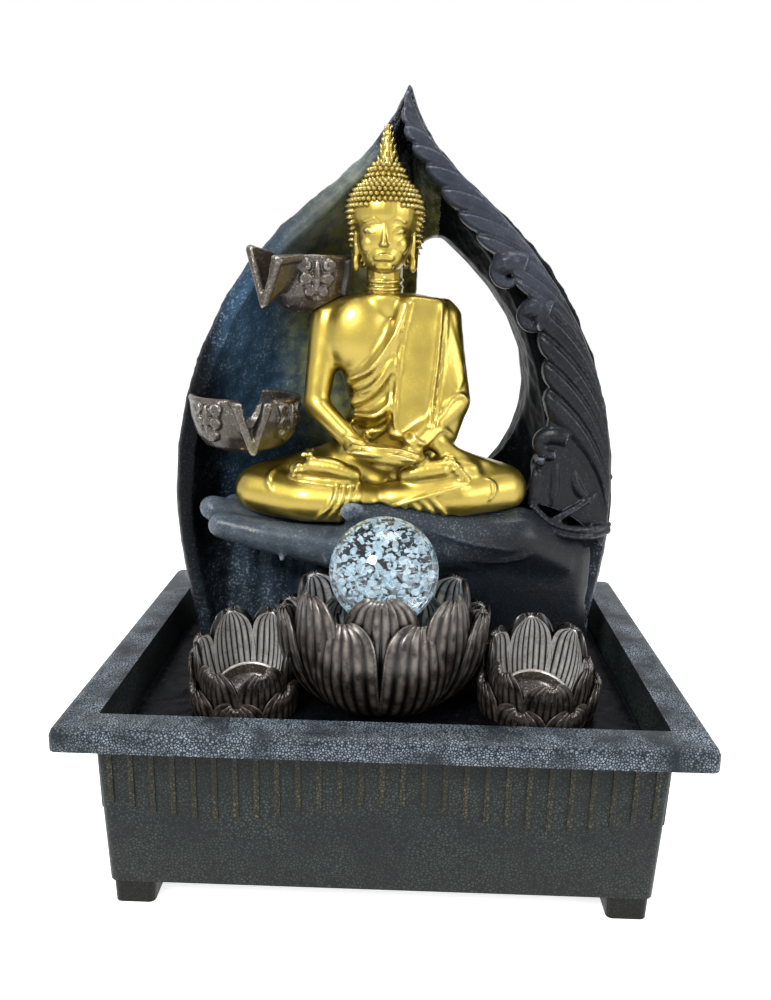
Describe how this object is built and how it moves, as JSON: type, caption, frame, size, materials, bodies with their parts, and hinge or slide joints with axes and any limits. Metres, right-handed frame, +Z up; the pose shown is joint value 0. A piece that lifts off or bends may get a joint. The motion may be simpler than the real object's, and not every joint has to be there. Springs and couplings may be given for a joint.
{
  "type": "tabletop water fountain",
  "caption": "Footed water fountain: a gold seated figure on a giant open hand inside a leaf-shaped arch, with spouted bowls, lotus flowers and a glass ball that water turns.",
  "frame": {"origin": "on the ground, at the centre of the footprint", "axes": "+Z up, +Y from the front of the fountain to its back, +X to the viewer's right"},
  "size_m": [0.213, 0.172, 0.286],
  "materials": {
    "basin_plastic": "moulded, fine leather grain, satin",
    "foot_plastic": "moulded, matte",
    "black_resin": "cast resin, black paint, satin",
    "gold_resin": "cast resin, gold paint",
    "bronze_resin": "cast resin, rubbed bronze paint",
    "ball_glass": "crackled inside, polished outside",
    "lens": "clear",
    "black_plastic": "moulded",
    "grey_plastic": "moulded",
    "white_plastic": "moulded",
    "led_epoxy": "clear epoxy",
    "clear_pvc": "flexible hose, clear",
    "black_rubber": "matte",
    "ferrite": "sintered ferrite, dull",
    "shaft_ceramic": "ground"
  },
  "bodies": {
    "basin": {"basin": "basin_plastic", "foot_front_left": "foot_plastic", "foot_front_right": "foot_plastic", "foot_back_left": "foot_plastic", "foot_back_right": "foot_plastic"},
    "sculpture": {"deck": "black_resin", "backdrop": "black_resin", "frond": "black_resin", "hand": "black_resin", "figure": "gold_resin", "upper_bowl": "bronze_resin", "lower_bowl": "bronze_resin", "centre_lotus": "bronze_resin", "left_lotus": "bronze_resin", "right_lotus": "bronze_resin", "ball_seat": "black_plastic", "ball_nozzle": "white_plastic", "light_board": "white_plastic", "leds": "led_epoxy", "light_lens": "lens", "light_cable": "black_rubber", "tee": "black_plastic", "hose_to_ball": "clear_pvc", "hose_to_bowl": "clear_pvc", "bowl_nozzle": "white_plastic", "pump_housing": "black_plastic", "impeller_cover": "black_plastic", "suction_cups": "black_rubber", "cable_gland": "black_plastic", "rotor_shaft": "shaft_ceramic", "front_bush": "black_rubber", "rear_bush": "black_rubber"},
    "ball": {"ball": "ball_glass"},
    "rotor": {"rotor_magnet": "ferrite", "impeller": "white_plastic"},
    "pump_cover": {"strainer_cover": "black_plastic"},
    "regulator": {"flow_dial": "grey_plastic"}
  },
  "joints": [
    {"name": "sculpture_lift", "type": "slide", "parent": "basin", "child": "sculpture", "axis": [0, 0, 1], "range_m": [0, 0.07]},
    {"name": "ball_spin", "type": "hinge", "parent": "sculpture", "child": "ball", "pos_m": [-0.0019, -0.028, 0.109], "axis": [1, 0, 0], "continuous": true},
    {"name": "rotor_spin", "type": "hinge", "parent": "sculpture", "child": "rotor", "pos_m": [0.014, 0.02, 0.0282], "axis": [0, 1, 0], "continuous": true},
    {"name": "cover_slide", "type": "slide", "parent": "sculpture", "child": "pump_cover", "axis": [0, -1, 0], "range_m": [0, 0.018]},
    {"name": "dial_turn", "type": "hinge", "parent": "pump_cover", "child": "regulator", "pos_m": [0.014, -0.005, 0.0282], "axis": [0, 1, 0], "range_deg": [-60, 60]}
  ]
}
